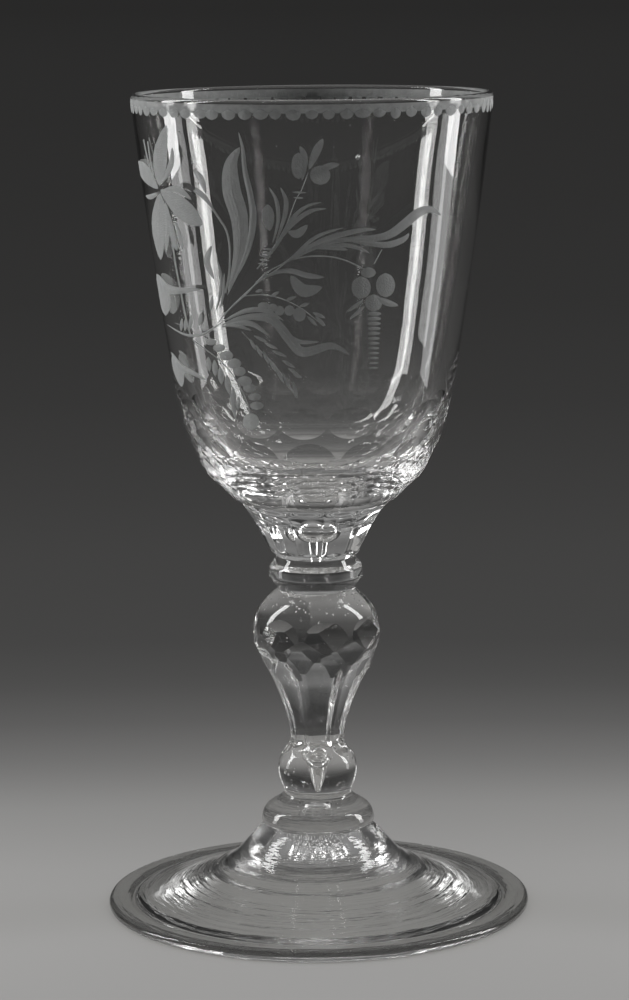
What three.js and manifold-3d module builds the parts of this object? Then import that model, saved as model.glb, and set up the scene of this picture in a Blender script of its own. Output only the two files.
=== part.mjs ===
import Module from 'manifold-3d';
import * as THREE from 'three';
import { mergeVertices } from 'three/addons/utils/BufferGeometryUtils.js';

// Goblet of colourless glass. A thin blown bowl with cut facets stands on a solid fluted base, a collar,
// a facet-cut baluster, a knop, a small collar and a broad disc, on a conical foot with a folded rim.
// Millimetres, +Z up. The origin is the centre of the ring that the foot stands on.

// Heights of the pieces from the table up: each stands on the one before
const FOOT_HEIGHT = 20.4;
const DISC_HEIGHT = 7.2;
const LOWER_COLLAR_HEIGHT = 2.2;
const KNOP_HEIGHT = 12.4;
const BALUSTER_HEIGHT = 37.2;
const UPPER_COLLAR_HEIGHT = 8.2;
const BASE_HEIGHT = 13.5;
const BOWL_HEIGHT = 98.9;

// Radii where two pieces are fused
const FOOT_JOINT_RADIUS = 13;
const DISC_JOINT_RADIUS = 8.75;
const KNOP_JOINT_RADIUS = 8.45;
const WAIST_JOINT_RADIUS = 6.73;
const SHOULDER_JOINT_RADIUS = 9.35;
const BASE_JOINT_RADIUS = 9.5;
const BOWL_JOINT_RADIUS = 18.1;

// Bowl
const RIM_RADIUS = 43.3;
const RIM_WALL = 1.8;
const BOWL_FLOOR = 4.6;
const LARGE_FACETS = 18;
const LARGE_FACET_HEIGHT = 23.3;
const LARGE_FACET_TURN = 5.3;
const LARGE_WHEEL_RADIUS = 19;
const LARGE_WHEEL_WIDTH = 14;
const TALL_FACETS = 14;
const TALL_FACET_HEIGHT = 12.2;
const TALL_FACET_TURN = 10.5;
const TALL_STONE_SIZE = 16;
const SMALL_FACETS = 28;
const SMALL_STONE_SIZE = 7;
// Each row of small facets: its height, its turn and how much deeper it is cut than to touch its neighbours
const SMALL_FACET_ROWS = [
  [10.2, 10.3, 0.5],
  [7.3, 3.9, 0.32],
  [3.3, 6.4, 0.42],
];

// Fluted base of the bowl, with the air tear that is trapped over the collar
const BASE_FLUTES = 12;
const BASE_FLUTE_TURN = 22.4;
const BASE_BEVEL = 1.1;
const BASE_FLUTE_FADE = [0.87, 0.995];
const BASE_TEAR_RADIUS = 4.5;
const BASE_TEAR_HEIGHT = 7.4;
const BASE_TEAR_CENTRE = 9.3;
const BASE_TAIL_RADIUS = 1.3;
const BASE_TAIL_END_RADIUS = 0.85;

// Collars and disc
const UPPER_COLLAR_RADIUS = 11.4;
const UPPER_COLLAR_FOOT = 3.2;
const UPPER_COLLAR_EDGE = 5.45;
const UPPER_COLLAR_WEAR = 0.15;
const UPPER_COLLAR_FILLET = 0.45;
const LOWER_COLLAR_WAIST = 8.35;
const DISC_RADIUS = 13.9;
const DISC_TEAR_RADIUS = 3.1;
const DISC_TEAR_HEIGHT = 2.4;

// Baluster: long flutes below, a row of flat diamond facets over the ridges between them, and a row of hollow
// shields over the flutes themselves
const BALUSTER_RADIUS = 15.7;
const BALUSTER_WIDEST = 27.8;
const PANELS = 8;
const PANEL_TURN = 8.8;
const PANEL_FULL = 18.6;
const PANEL_END = 23.6;
const SHIELD_HEIGHT = 27.2;
const SHIELD_TILT = -7.5;
const SHIELD_RADIUS = 15;
const SHIELD_WHEEL_RADIUS = 40;
const SHIELD_WHEEL_WIDTH = 14;
const DIAMOND_HEIGHT = 22.4;
const DIAMOND_TILT = 15;
const DIAMOND_RADIUS = 14.5;
const DIAMOND_STONE_SIZE = 14;

// Knop, with its own tear
const KNOP_RADIUS = 9.7;
const KNOP_WIDEST = 4.6;
const KNOP_FLUTE_END = 8.6;
const KNOP_TEAR_RADIUS = 2.7;
const KNOP_TEAR_HEIGHT = 5.4;
const KNOP_TEAR_CENTRE = 6.6;
const KNOP_TAIL_RADIUS = 1.6;
const KNOP_TAIL_END_RADIUS = 0.5;

// Foot: thin plate with its edge folded under, hollow below the cone
const FOOT_RADIUS = 52;
const FOLD_WIDTH = 6.8;
const FOLD_THICKNESS = 1.3;
const PLATE_THICKNESS = 1.4;
const FOOT_KICK = 15.2;
const PONTIL_RADIUS = 4.6;
const PONTIL_DEPTH = 0.7;

// How finely the round forms are faceted
const BOWL_SEGMENTS = 60;
const STEM_SEGMENTS = 36;
const FLUTE_STEPS = 4;
const PANEL_STEPS = 4;
const FOOT_SEGMENTS = 60;
const WHEEL_SEGMENTS = 72;
const TEAR_SEGMENTS = 16;
const TEAR_STEPS = 7;
const TEAR_OVERRUN = 1;

const GLASS_COLOUR = 0xdfe2de;
const GLASS_ROUGHNESS = 0.03;

const wasm = await Module();
wasm.setup();

const point = (radius, height) => new THREE.Vector2(radius, height);
const mix = THREE.MathUtils.lerp;
const radians = THREE.MathUtils.degToRad;

// A smooth line through a few [radius, height] stations
function smooth(stations, steps) {
  const line = new THREE.SplineCurve(stations.map(([radius, height]) => point(radius, height)));
  return line.getPoints(steps);
}

// A round edge: part of a circle in the plane of the outline, from one angle to another in degrees
function arc(radius, height, size, from, to, steps) {
  const points = [];
  for (let i = 0; i <= steps; i++) {
    const angle = radians(mix(from, to, i / steps));
    points.push(point(radius + size * Math.cos(angle), height + size * Math.sin(angle)));
  }
  return points;
}

// A turned form: the outline runs up the outside and starts and ends on the axis
function turned(outline, segments, turn = 0) {
  const form = new THREE.LatheGeometry(outline, segments, radians(90 + turn));
  form.rotateX(Math.PI / 2);
  return form;
}

// Presses flutes into a turned form. share(height) goes from 0, round, to 1, flat between sharp ridges
function flute(form, count, turn, share) {
  const at = form.attributes.position;
  const pitch = (2 * Math.PI) / count;
  for (let i = 0; i < at.count; i++) {
    const angle = Math.atan2(at.getY(i), at.getX(i)) - radians(turn);
    const across = angle - pitch * Math.round(angle / pitch);
    const flat = Math.cos(pitch / 2) / Math.cos(across);
    const scale = mix(1, flat, share(at.getZ(i)));
    at.setXY(i, at.getX(i) * scale, at.getY(i) * scale);
  }
  return form;
}

function toSolid(form) {
  form.deleteAttribute('normal');
  form.deleteAttribute('uv');
  const merged = mergeVertices(form, 1e-4);
  const corners = merged.index.array;
  const triangles = [];
  for (let i = 0; i < corners.length; i += 3) {
    const [a, b, c] = corners.slice(i, i + 3);
    if (a !== b && b !== c && c !== a) {
      triangles.push(a, b, c);
    }
  }
  const vertProperties = merged.attributes.position.array;
  return new wasm.Manifold(
    new wasm.Mesh({ numProp: 3, vertProperties, triVerts: Uint32Array.from(triangles) }),
  );
}

function toForm(solid) {
  const { vertProperties, triVerts } = solid.getMesh();
  const form = new THREE.BufferGeometry();
  form.setAttribute('position', new THREE.BufferAttribute(vertProperties, 3));
  form.setIndex(new THREE.BufferAttribute(triVerts, 1));
  form.computeVertexNormals();
  return form;
}

// Where an outline is at a height: its radius and the angle that its outer face looks downwards
function seatOn(outline, height) {
  const i = outline.findIndex((p, k) => k > 0 && p.y >= height);
  const [low, high] = [outline[i - 1], outline[i]];
  const radius = mix(low.x, high.x, (height - low.y) / (high.y - low.y));
  return { radius, height, tilt: Math.atan2(high.x - low.x, high.y - low.y) };
}

// Puts a cutter that looks along +X against the surface at one turn round the axis
function placed(cutter, { radius, height, tilt }, turn) {
  cutter.rotateY(tilt);
  cutter.translate(radius, 0, height);
  cutter.rotateZ(turn);
  return toSolid(cutter);
}

// A row of cuts round the form, each made by a copy of the same cutter
function cutRow(solid, count, turn, seat, cutter) {
  let cut = solid;
  for (let i = 0; i < count; i++) {
    const angle = radians(turn) + (i * 2 * Math.PI) / count;
    cut = cut.subtract(placed(cutter(), seat, angle));
  }
  return cut;
}

// A cutting wheel seen edge on: it hollows the glass a little from top to bottom
function wheel(wheelRadius, width, sink) {
  const disc = new THREE.CylinderGeometry(wheelRadius, wheelRadius, width, WHEEL_SEGMENTS);
  disc.translate(wheelRadius - sink, 0, 0);
  return disc;
}

// A flat stone: it takes off everything outside its face
function flatStone(size, sink) {
  const block = new THREE.BoxGeometry(size, size, size);
  block.translate(size / 2 - sink, 0, 0);
  return block;
}

// Depth of a cut whose edges just meet their neighbours' edges round the form
function touchingSink({ radius, tilt }, count) {
  return radius * (1 - Math.cos(Math.PI / count)) * Math.cos(tilt);
}

function bowlOutside() {
  const across = RIM_RADIUS - BOWL_JOINT_RADIUS;
  const form = [
    [0, 0],
    [0.15, 0.0255],
    [0.25, 0.0505],
    [0.345, 0.076],
    [0.405, 0.102],
    [0.482, 0.15],
    [0.556, 0.21],
    [0.63, 0.3],
    [0.75, 0.495],
    [0.885, 0.739],
    [0.972, 0.915],
  ];
  const stations = form.map(([r, z]) => [BOWL_JOINT_RADIUS + across * r, BOWL_HEIGHT * z]);
  return smooth([...stations, [RIM_RADIUS, BOWL_HEIGHT - RIM_WALL / 2]], 12);
}

function bowlInside() {
  const mouth = RIM_RADIUS - RIM_WALL;
  const depth = BOWL_HEIGHT - RIM_WALL / 2 - BOWL_FLOOR;
  const form = [
    [1, 1],
    [0.972, 0.92],
    [0.895, 0.73],
    [0.815, 0.5],
    [0.735, 0.3],
    [0.66, 0.185],
    [0.55, 0.095],
    [0.38, 0.036],
    [0.2, 0.008],
    [0, 0],
  ];
  return smooth(form.map(([r, z]) => [mouth * r, BOWL_FLOOR + depth * z]), 9);
}

function bowl() {
  const outside = bowlOutside();
  const lip = arc(RIM_RADIUS - RIM_WALL / 2, BOWL_HEIGHT - RIM_WALL / 2, RIM_WALL / 2, 0, 180, 4);
  const outline = [point(0, 0), ...outside, ...lip.slice(1, -1), ...bowlInside()];
  let solid = toSolid(turned(outline, BOWL_SEGMENTS));
  for (const [height, turn, extra] of SMALL_FACET_ROWS) {
    const seat = seatOn(outside, height);
    const sink = touchingSink(seat, SMALL_FACETS) + extra;
    solid = cutRow(solid, SMALL_FACETS, turn, seat, () => flatStone(SMALL_STONE_SIZE, sink));
  }
  const tall = seatOn(outside, TALL_FACET_HEIGHT);
  const tallStone = () => flatStone(TALL_STONE_SIZE, touchingSink(tall, TALL_FACETS));
  solid = cutRow(solid, TALL_FACETS, TALL_FACET_TURN, tall, tallStone);
  const large = seatOn(outside, LARGE_FACET_HEIGHT);
  const largeSink = touchingSink(large, LARGE_FACETS);
  const largeWheel = () => wheel(LARGE_WHEEL_RADIUS, LARGE_WHEEL_WIDTH, largeSink);
  return toForm(cutRow(solid, LARGE_FACETS, LARGE_FACET_TURN, large, largeWheel));
}

// A bubble of air with a narrowing tail below it that runs out through the joint under the piece
function tear(radius, height, centre, tailRadius, tailEndRadius) {
  const bulb = [];
  const neck = Math.asin(tailRadius / radius);
  for (let i = 0; i < TEAR_STEPS; i++) {
    const angle = mix(neck, Math.PI, i / TEAR_STEPS);
    bulb.push(point(radius * Math.sin(angle), centre - (height / 2) * Math.cos(angle)));
  }
  const tail = [point(0, -TEAR_OVERRUN), point(tailEndRadius, -TEAR_OVERRUN)];
  return toSolid(turned([...tail, ...bulb, point(0, centre + height / 2)], TEAR_SEGMENTS));
}

function bowlBase() {
  const across = BOWL_JOINT_RADIUS - BASE_JOINT_RADIUS;
  const form = [
    [0.14, BASE_BEVEL / BASE_HEIGHT],
    [0.32, 0.268],
    [0.462, 0.452],
    [0.624, 0.637],
    [0.814, 0.82],
    [1, 1],
  ];
  const stations = form.map(([r, z]) => [BASE_JOINT_RADIUS + across * r, BASE_HEIGHT * z]);
  const outline = [point(0, 0), point(BASE_JOINT_RADIUS, 0), ...smooth(stations, 8), point(0, BASE_HEIGHT)];
  const [fadeStart, fadeEnd] = BASE_FLUTE_FADE.map((part) => BASE_HEIGHT * part);
  const share = (height) => {
    const fromBelow = THREE.MathUtils.smoothstep(height, BASE_BEVEL, BASE_BEVEL * 2);
    return fromBelow * (1 - THREE.MathUtils.smoothstep(height, fadeStart, fadeEnd));
  };
  const body = turned(outline, BASE_FLUTES * FLUTE_STEPS, BASE_FLUTE_TURN);
  const solid = toSolid(flute(body, BASE_FLUTES, BASE_FLUTE_TURN, share));
  const air = tear(
    BASE_TEAR_RADIUS,
    BASE_TEAR_HEIGHT,
    BASE_TEAR_CENTRE,
    BASE_TAIL_RADIUS,
    BASE_TAIL_END_RADIUS,
  );
  return toForm(solid.subtract(air));
}

function upperCollar() {
  const widest = UPPER_COLLAR_RADIUS;
  const outline = [
    point(0, 0),
    point(SHOULDER_JOINT_RADIUS, 0),
    point(SHOULDER_JOINT_RADIUS + UPPER_COLLAR_FILLET / 2, UPPER_COLLAR_FILLET),
    point(widest - UPPER_COLLAR_WEAR, UPPER_COLLAR_FOOT - UPPER_COLLAR_WEAR),
    point(widest, UPPER_COLLAR_FOOT + UPPER_COLLAR_WEAR),
    point(widest, UPPER_COLLAR_EDGE - UPPER_COLLAR_WEAR),
    point(widest - UPPER_COLLAR_WEAR, UPPER_COLLAR_EDGE + UPPER_COLLAR_WEAR),
    point(BASE_JOINT_RADIUS + UPPER_COLLAR_FILLET, UPPER_COLLAR_HEIGHT - UPPER_COLLAR_FILLET),
    point(BASE_JOINT_RADIUS, UPPER_COLLAR_HEIGHT),
    point(0, UPPER_COLLAR_HEIGHT),
  ];
  return toForm(toSolid(turned(outline, STEM_SEGMENTS)));
}

function balusterStations() {
  const low = WAIST_JOINT_RADIUS;
  const wide = BALUSTER_RADIUS;
  const top = SHOULDER_JOINT_RADIUS;
  const above = BALUSTER_HEIGHT - BALUSTER_WIDEST;
  return [
    [low, 0],
    [mix(low, wide, 0.055), BALUSTER_WIDEST * 0.14],
    [mix(low, wide, 0.24), BALUSTER_WIDEST * 0.325],
    [mix(low, wide, 0.49), BALUSTER_WIDEST * 0.514],
    [mix(low, wide, 0.715), BALUSTER_WIDEST * 0.64],
    [mix(low, wide, 0.87), BALUSTER_WIDEST * 0.73],
    [mix(low, wide, 0.98), BALUSTER_WIDEST * 0.8],
    [wide, BALUSTER_WIDEST * 0.9],
    [wide, BALUSTER_WIDEST],
    [mix(top, wide, 0.79), BALUSTER_WIDEST + above * 0.42],
    [mix(top, wide, 0.46), BALUSTER_WIDEST + above * 0.73],
    [top, BALUSTER_HEIGHT],
  ];
}

function baluster() {
  const outline = [point(0, 0), ...smooth(balusterStations(), 15), point(0, BALUSTER_HEIGHT)];
  const share = (height) => 1 - THREE.MathUtils.smoothstep(height, PANEL_FULL, PANEL_END);
  const body = flute(turned(outline, PANELS * PANEL_STEPS, PANEL_TURN), PANELS, PANEL_TURN, share);
  const diamond = { radius: DIAMOND_RADIUS, height: DIAMOND_HEIGHT, tilt: radians(DIAMOND_TILT) };
  const shield = { radius: SHIELD_RADIUS, height: SHIELD_HEIGHT, tilt: radians(SHIELD_TILT) };
  const stone = () => flatStone(DIAMOND_STONE_SIZE, 0);
  const shieldWheel = () => wheel(SHIELD_WHEEL_RADIUS, SHIELD_WHEEL_WIDTH, 0);
  const solid = cutRow(toSolid(body), PANELS, PANEL_TURN + 180 / PANELS, diamond, stone);
  return toForm(cutRow(solid, PANELS, PANEL_TURN, shield, shieldWheel));
}

function knop() {
  const above = KNOP_HEIGHT - KNOP_WIDEST;
  const stations = [
    [KNOP_JOINT_RADIUS, 0],
    [mix(KNOP_JOINT_RADIUS, KNOP_RADIUS, 0.56), KNOP_WIDEST * 0.37],
    [KNOP_RADIUS, KNOP_WIDEST],
    [mix(WAIST_JOINT_RADIUS, KNOP_RADIUS, 0.87), KNOP_WIDEST + above * 0.3],
    [mix(WAIST_JOINT_RADIUS, KNOP_RADIUS, 0.54), KNOP_WIDEST + above * 0.54],
    [mix(WAIST_JOINT_RADIUS, KNOP_RADIUS, 0.21), KNOP_WIDEST + above * 0.745],
    [WAIST_JOINT_RADIUS, KNOP_HEIGHT],
  ];
  const outline = [point(0, 0), ...smooth(stations, 10), point(0, KNOP_HEIGHT)];
  const share = (height) => THREE.MathUtils.smoothstep(height, KNOP_FLUTE_END - 1, KNOP_HEIGHT - 1);
  const body = flute(turned(outline, PANELS * PANEL_STEPS, PANEL_TURN), PANELS, PANEL_TURN, share);
  const air = tear(
    KNOP_TEAR_RADIUS,
    KNOP_TEAR_HEIGHT,
    KNOP_TEAR_CENTRE,
    KNOP_TAIL_RADIUS,
    KNOP_TAIL_END_RADIUS,
  );
  return toForm(toSolid(body).subtract(air));
}

function lowerCollar() {
  const outline = [
    point(0, 0),
    point(DISC_JOINT_RADIUS, 0),
    point(LOWER_COLLAR_WAIST, LOWER_COLLAR_HEIGHT * 0.35),
    point(LOWER_COLLAR_WAIST, LOWER_COLLAR_HEIGHT * 0.75),
    point(KNOP_JOINT_RADIUS, LOWER_COLLAR_HEIGHT),
    point(0, LOWER_COLLAR_HEIGHT),
  ];
  return toForm(toSolid(turned(outline, STEM_SEGMENTS)));
}

function discMerese() {
  const stations = [
    [FOOT_JOINT_RADIUS, 0],
    [mix(FOOT_JOINT_RADIUS, DISC_RADIUS, 0.85), DISC_HEIGHT * 0.1],
    [DISC_RADIUS, DISC_HEIGHT * 0.21],
    [mix(DISC_JOINT_RADIUS, DISC_RADIUS, 0.95), DISC_HEIGHT * 0.38],
    [mix(DISC_JOINT_RADIUS, DISC_RADIUS, 0.8), DISC_HEIGHT * 0.58],
    [mix(DISC_JOINT_RADIUS, DISC_RADIUS, 0.55), DISC_HEIGHT * 0.73],
    [mix(DISC_JOINT_RADIUS, DISC_RADIUS, 0.26), DISC_HEIGHT * 0.86],
    [DISC_JOINT_RADIUS, DISC_HEIGHT],
  ];
  const outline = [point(0, 0), ...smooth(stations, 9), point(0, DISC_HEIGHT)];
  const solid = toSolid(turned(outline, STEM_SEGMENTS));
  const bubble = new THREE.SphereGeometry(DISC_TEAR_RADIUS, TEAR_SEGMENTS, TEAR_STEPS + 1);
  bubble.rotateX(Math.PI / 2);
  bubble.scale(1, 1, DISC_TEAR_HEIGHT / DISC_TEAR_RADIUS);
  return toForm(solid.subtract(toSolid(bubble)));
}

function foot() {
  const edge = (FOLD_THICKNESS + PLATE_THICKNESS) / 2;
  const foldInside = FOOT_RADIUS - FOLD_WIDTH;
  const plateUnder = FOLD_THICKNESS + 0.05;
  const plateTop = FOLD_THICKNESS + PLATE_THICKNESS;
  const across = foldInside - FOOT_JOINT_RADIUS;
  const rise = FOOT_HEIGHT - plateTop;
  const coneForm = [
    [1, 0.005],
    [0.776, 0.107],
    [0.528, 0.277],
    [0.348, 0.424],
    [0.255, 0.531],
    [0.19, 0.644],
    [0.08, 0.87],
    [0.03, 0.96],
    [0, 1],
  ];
  const cone = coneForm.map(([r, z]) => [FOOT_JOINT_RADIUS + across * r, plateTop + rise * z]);
  const kick = FOOT_KICK - plateUnder;
  const hollowForm = [
    [PONTIL_RADIUS / foldInside, 1],
    [0.18, 0.96],
    [0.31, 0.79],
    [0.42, 0.585],
    [0.53, 0.425],
    [0.66, 0.265],
    [0.84, 0.1],
    [0.985, 0.005],
  ];
  const hollow = hollowForm.map(([r, z]) => [foldInside * r, plateUnder + kick * z]);
  const roundOver = arc(FOOT_RADIUS - edge, edge, edge, -90, 90, 4);
  const foldLip = FOLD_THICKNESS / 2;
  const outline = [
    point(0, FOOT_KICK - PONTIL_DEPTH),
    point(PONTIL_RADIUS * 0.8, FOOT_KICK - PONTIL_DEPTH),
    ...smooth(hollow, 6),
    ...arc(foldInside + foldLip, foldLip, foldLip, 180, 270, 2),
    ...roundOver,
    ...smooth(cone, 8),
    point(0, FOOT_HEIGHT),
  ];
  return toForm(toSolid(turned(outline, FOOT_SEGMENTS)));
}

// The pieces in the order that they stand on each other
const STACK = [
  ['foot', foot, FOOT_HEIGHT],
  ['disc_merese', discMerese, DISC_HEIGHT],
  ['lower_collar', lowerCollar, LOWER_COLLAR_HEIGHT],
  ['tear_knop', knop, KNOP_HEIGHT],
  ['baluster', baluster, BALUSTER_HEIGHT],
  ['upper_collar', upperCollar, UPPER_COLLAR_HEIGHT],
  ['bowl_base', bowlBase, BASE_HEIGHT],
  ['bowl', bowl, BOWL_HEIGHT],
];

const goblet = new THREE.Group();
let level = 0;
for (const [name, make, height] of STACK) {
  const glass = new THREE.MeshStandardMaterial({
    color: GLASS_COLOUR,
    roughness: GLASS_ROUGHNESS,
    metalness: 0,
    transparent: true,
    opacity: 0.35,
  });
  const piece = new THREE.Mesh(make(), glass);
  piece.name = name;
  piece.position.z = level;
  goblet.add(piece);
  level += height;
}

export default goblet;
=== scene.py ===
import math
import random

import bmesh
import bpy
import numpy as np
from mathutils import Matrix, Vector


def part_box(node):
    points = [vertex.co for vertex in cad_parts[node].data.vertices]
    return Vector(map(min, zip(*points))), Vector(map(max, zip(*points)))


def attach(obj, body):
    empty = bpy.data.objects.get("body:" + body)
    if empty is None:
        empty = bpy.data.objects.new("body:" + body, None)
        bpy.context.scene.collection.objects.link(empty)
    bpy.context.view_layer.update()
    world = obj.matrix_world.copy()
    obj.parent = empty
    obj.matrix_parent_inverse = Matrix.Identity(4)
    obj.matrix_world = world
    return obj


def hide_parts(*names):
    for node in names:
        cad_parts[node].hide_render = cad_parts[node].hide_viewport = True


# Goblet of colourless glass. The frame is in metres. The forms below are written in millimetres.
MM = 0.001

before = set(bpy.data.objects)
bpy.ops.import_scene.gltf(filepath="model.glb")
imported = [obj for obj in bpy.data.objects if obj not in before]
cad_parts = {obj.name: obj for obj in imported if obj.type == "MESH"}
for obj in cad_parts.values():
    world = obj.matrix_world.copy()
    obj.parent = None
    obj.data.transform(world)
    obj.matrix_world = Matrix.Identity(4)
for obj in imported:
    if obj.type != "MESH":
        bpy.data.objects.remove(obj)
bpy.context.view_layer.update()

# Level where each piece begins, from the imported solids, and how high it is
STACK = ("foot", "disc_merese", "lower_collar", "tear_knop", "baluster", "upper_collar", "bowl_base", "bowl")
LEVELS = {node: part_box(node)[0].z / MM for node in STACK}
ENDS = [*LEVELS.values(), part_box("bowl")[1].z / MM]
HEIGHTS = [high - low for low, high in zip(ENDS, ENDS[1:])]
FOOT_HEIGHT, DISC_HEIGHT, LOWER_COLLAR_HEIGHT, KNOP_HEIGHT = HEIGHTS[:4]
BALUSTER_HEIGHT, UPPER_COLLAR_HEIGHT, BASE_HEIGHT, BOWL_HEIGHT = HEIGHTS[4:]
BOWL_LEVEL = LEVELS["bowl"]

# Radii of the fused joints
FOOT_JOINT = 13.0
DISC_JOINT = 8.75
KNOP_JOINT = 8.45
WAIST_JOINT = 6.73
SHOULDER_JOINT = 9.35
BASE_JOINT = 9.5
BOWL_JOINT = 18.1

RIM_RADIUS = 43.3
RIM_WALL = 1.8
BOWL_FLOOR = 4.6
FOOT_RADIUS = 52.0

# Materials of a clear piece, by number
GLASS, JOINT = 0, 1

# A corner's wear takes at most this share of the line to the next corner
WORN_SHARE = 0.45


def mix(a, b, t):
    return a + (b - a) * t


def shares(narrow, wide, low, high, places):
    """Stations of an outline from shares of the way out and of the way up."""
    return [(mix(narrow, wide, r), mix(low, high, z)) for r, z in places]


def smoothstep(x, a, b):
    t = np.clip((x - a) / (b - a), 0, 1)
    return t * t * (3 - 2 * t)


def spline(stations, steps):
    """A smooth line through a few [radius, height] stations."""
    p = np.array(stations, float)
    last = len(p) - 1
    t = np.linspace(0, last, steps + 1)
    i = np.minimum(t.astype(int), last - 1)
    w = (t - i)[:, None]
    p0, p1 = p[np.maximum(i - 1, 0)], p[i]
    p2, p3 = p[i + 1], p[np.minimum(i + 2, last)]
    v0, v1 = (p2 - p0) / 2, (p3 - p1) / 2
    cubic = (2 * p1 - 2 * p2 + v0 + v1) * w**3
    square = (3 * p2 - 3 * p1 - 2 * v0 - v1) * w**2
    return cubic + square + v0 * w + p1


def arc(radius, height, size, start, end, steps):
    """Part of a circle, from one angle to another in degrees."""
    a = np.radians(np.linspace(start, end, steps + 1))
    return np.stack([radius + size * np.cos(a), height + size * np.sin(a)], 1)


def capped(line, top):
    """Closes an outline with its two ends on the axis."""
    return np.concatenate([[(0, 0)], line, [(0, top)]])


def worn(corners, size, steps=6, spacing=0.25):
    """A line through corners that are each worn round over a size to both sides."""
    p = np.array(corners, float)
    line = [p[0]]
    for a, b, c in zip(p[:-2], p[1:-1], p[2:]):
        before = b + (a - b) * min(WORN_SHARE, size / np.linalg.norm(a - b))
        after = b + (c - b) * min(WORN_SHARE, size / np.linalg.norm(c - b))
        for t in np.linspace(0, 1, steps + 1):
            line.append(before * (1 - t) ** 2 + b * 2 * t * (1 - t) + after * t**2)
    line.append(p[-1])
    fine = []
    for a, b in zip(line[:-1], line[1:]):
        n = max(1, int(np.linalg.norm(b - a) / spacing))
        fine += [a + (b - a) * k / n for k in range(n)]
    return np.array([*fine, line[-1]])


class Shell:
    """Vertices in millimetres, faces and each face's material, gathered before the mesh is made."""

    def __init__(self):
        self.verts, self.faces, self.marks, self.count = [], [], [], 0

    def add(self, verts, faces, marks):
        self.verts.append(np.asarray(verts, float))
        self.faces += [tuple(int(k) + self.count for k in f) for f in faces]
        self.marks += list(marks)
        self.count += len(verts)

    def turned(self, outline, around, form=None, joints=(False, False), inward=False, at=(0, 0, 0)):
        """Turns an outline about the axis. around is the number of steps or the angles themselves. joints
        says whether its first and last segment, from and to the axis, are where the piece is fused."""
        line = np.asarray(outline, float)
        rings = line[1:-1]
        angle = np.arange(around) * 2 * math.pi / around if isinstance(around, int) else around
        m = len(angle)
        r = np.repeat(rings[:, :1], m, 1)
        z = np.repeat(rings[:, 1:], m, 1)
        a = np.repeat(angle[None, :], len(rings), 0)
        if form:
            r, z = form(r, z, a)
        ring = np.stack([r * np.cos(a), r * np.sin(a), z], 2).reshape(-1, 3)
        ends = [[0, 0, line[0, 1]], [0, 0, line[-1, 1]]]
        verts = np.concatenate([ring, ends])
        low, high = len(ring), len(ring) + 1
        top = low - m
        steps = [(j, (j + 1) % m) for j in range(m)]
        faces = [(low, k, j) for j, k in steps]
        for start in range(0, top, m):
            faces += [(start + j, start + k, start + m + k, start + m + j) for j, k in steps]
        faces += [(top + j, top + k, high) for j, k in steps]
        first, last = (JOINT if joint else GLASS for joint in joints)
        marks = [first] * m + [GLASS] * top + [last] * m
        if inward:
            faces = [f[::-1] for f in faces]
        self.add(verts + at, faces, marks)

    def seed(self, size, radius, angle, height):
        """A tiny trapped bubble at an angle, in radians, and a height."""
        ball = arc(0, 0, size, -90, 90, 8)
        ball[0, 0] = ball[-1, 0] = 0
        self.turned(ball, 14, inward=True, at=(radius * math.cos(angle), radius * math.sin(angle), height))

    def mesh(self, name, level=0.0):
        verts = np.concatenate(self.verts)
        verts[:, 2] += level
        me = bpy.data.meshes.new(name)
        me.from_pydata((verts * MM).tolist(), [], self.faces)
        me.polygons.foreach_set("material_index", self.marks)
        me.update()
        return me


def new_object(name, data):
    o = bpy.data.objects.new(name, data)
    bpy.context.scene.collection.objects.link(o)
    return o


def shade(me, angle):
    """Smooth surfaces with crisp edges where two faces meet at more than an angle, or where a cut ends."""
    me.polygons.foreach_set("use_smooth", [True] * len(me.polygons))
    me.set_sharp_from_angle(angle=math.radians(angle))
    if "region" not in me.attributes:
        return
    region = np.zeros(len(me.polygons), np.int32)
    me.attributes["region"].data.foreach_get("value", region)
    bm = bmesh.new()
    bm.from_mesh(me)
    for e in bm.edges:
        if len(e.link_faces) == 2 and region[e.link_faces[0].index] != region[e.link_faces[1].index]:
            e.smooth = False
    bm.to_mesh(me)
    bm.free()


def finish_piece(o, node, materials):
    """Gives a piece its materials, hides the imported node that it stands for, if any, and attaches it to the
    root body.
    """
    me = o.data
    marks = np.zeros(len(me.polygons), np.int32)
    me.polygons.foreach_get("material_index", marks)
    me.materials.clear()
    for m in materials:
        me.materials.append(m)
    me.polygons.foreach_set("material_index", marks)
    if node:
        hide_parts(node)
    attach(o, "root")


# Materials

GLASS_INDEX = 1.52
# The waves in the glass are shorter up and down than round it
WAVE_STRETCH = (1, 1, 2.2)
WAVE_DETAIL = 2.5
# Fine marks of a turning tool: how many to a metre, and how slowly they change round the axis
RING_SCALE = 1000
RING_DRIFT = 0.09
# Height of a bump of strength 1, in metres
BUMP_HEIGHT = 0.001
# Share of a lamp's light that a surface lets through, and its blue as a share of that
LAMP_PASSED, FOOT_LAMP_PASSED = 0.9, 0.98
LAMP_BLUE = 0.99

VEIL_WHITE = (0.86, 0.875, 0.875)
GRAIN_SCALE, GRAIN_HEIGHT = 2600, 0.00035
PATCH_SCALE = 260
GROUND_DETAIL = 3


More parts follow.
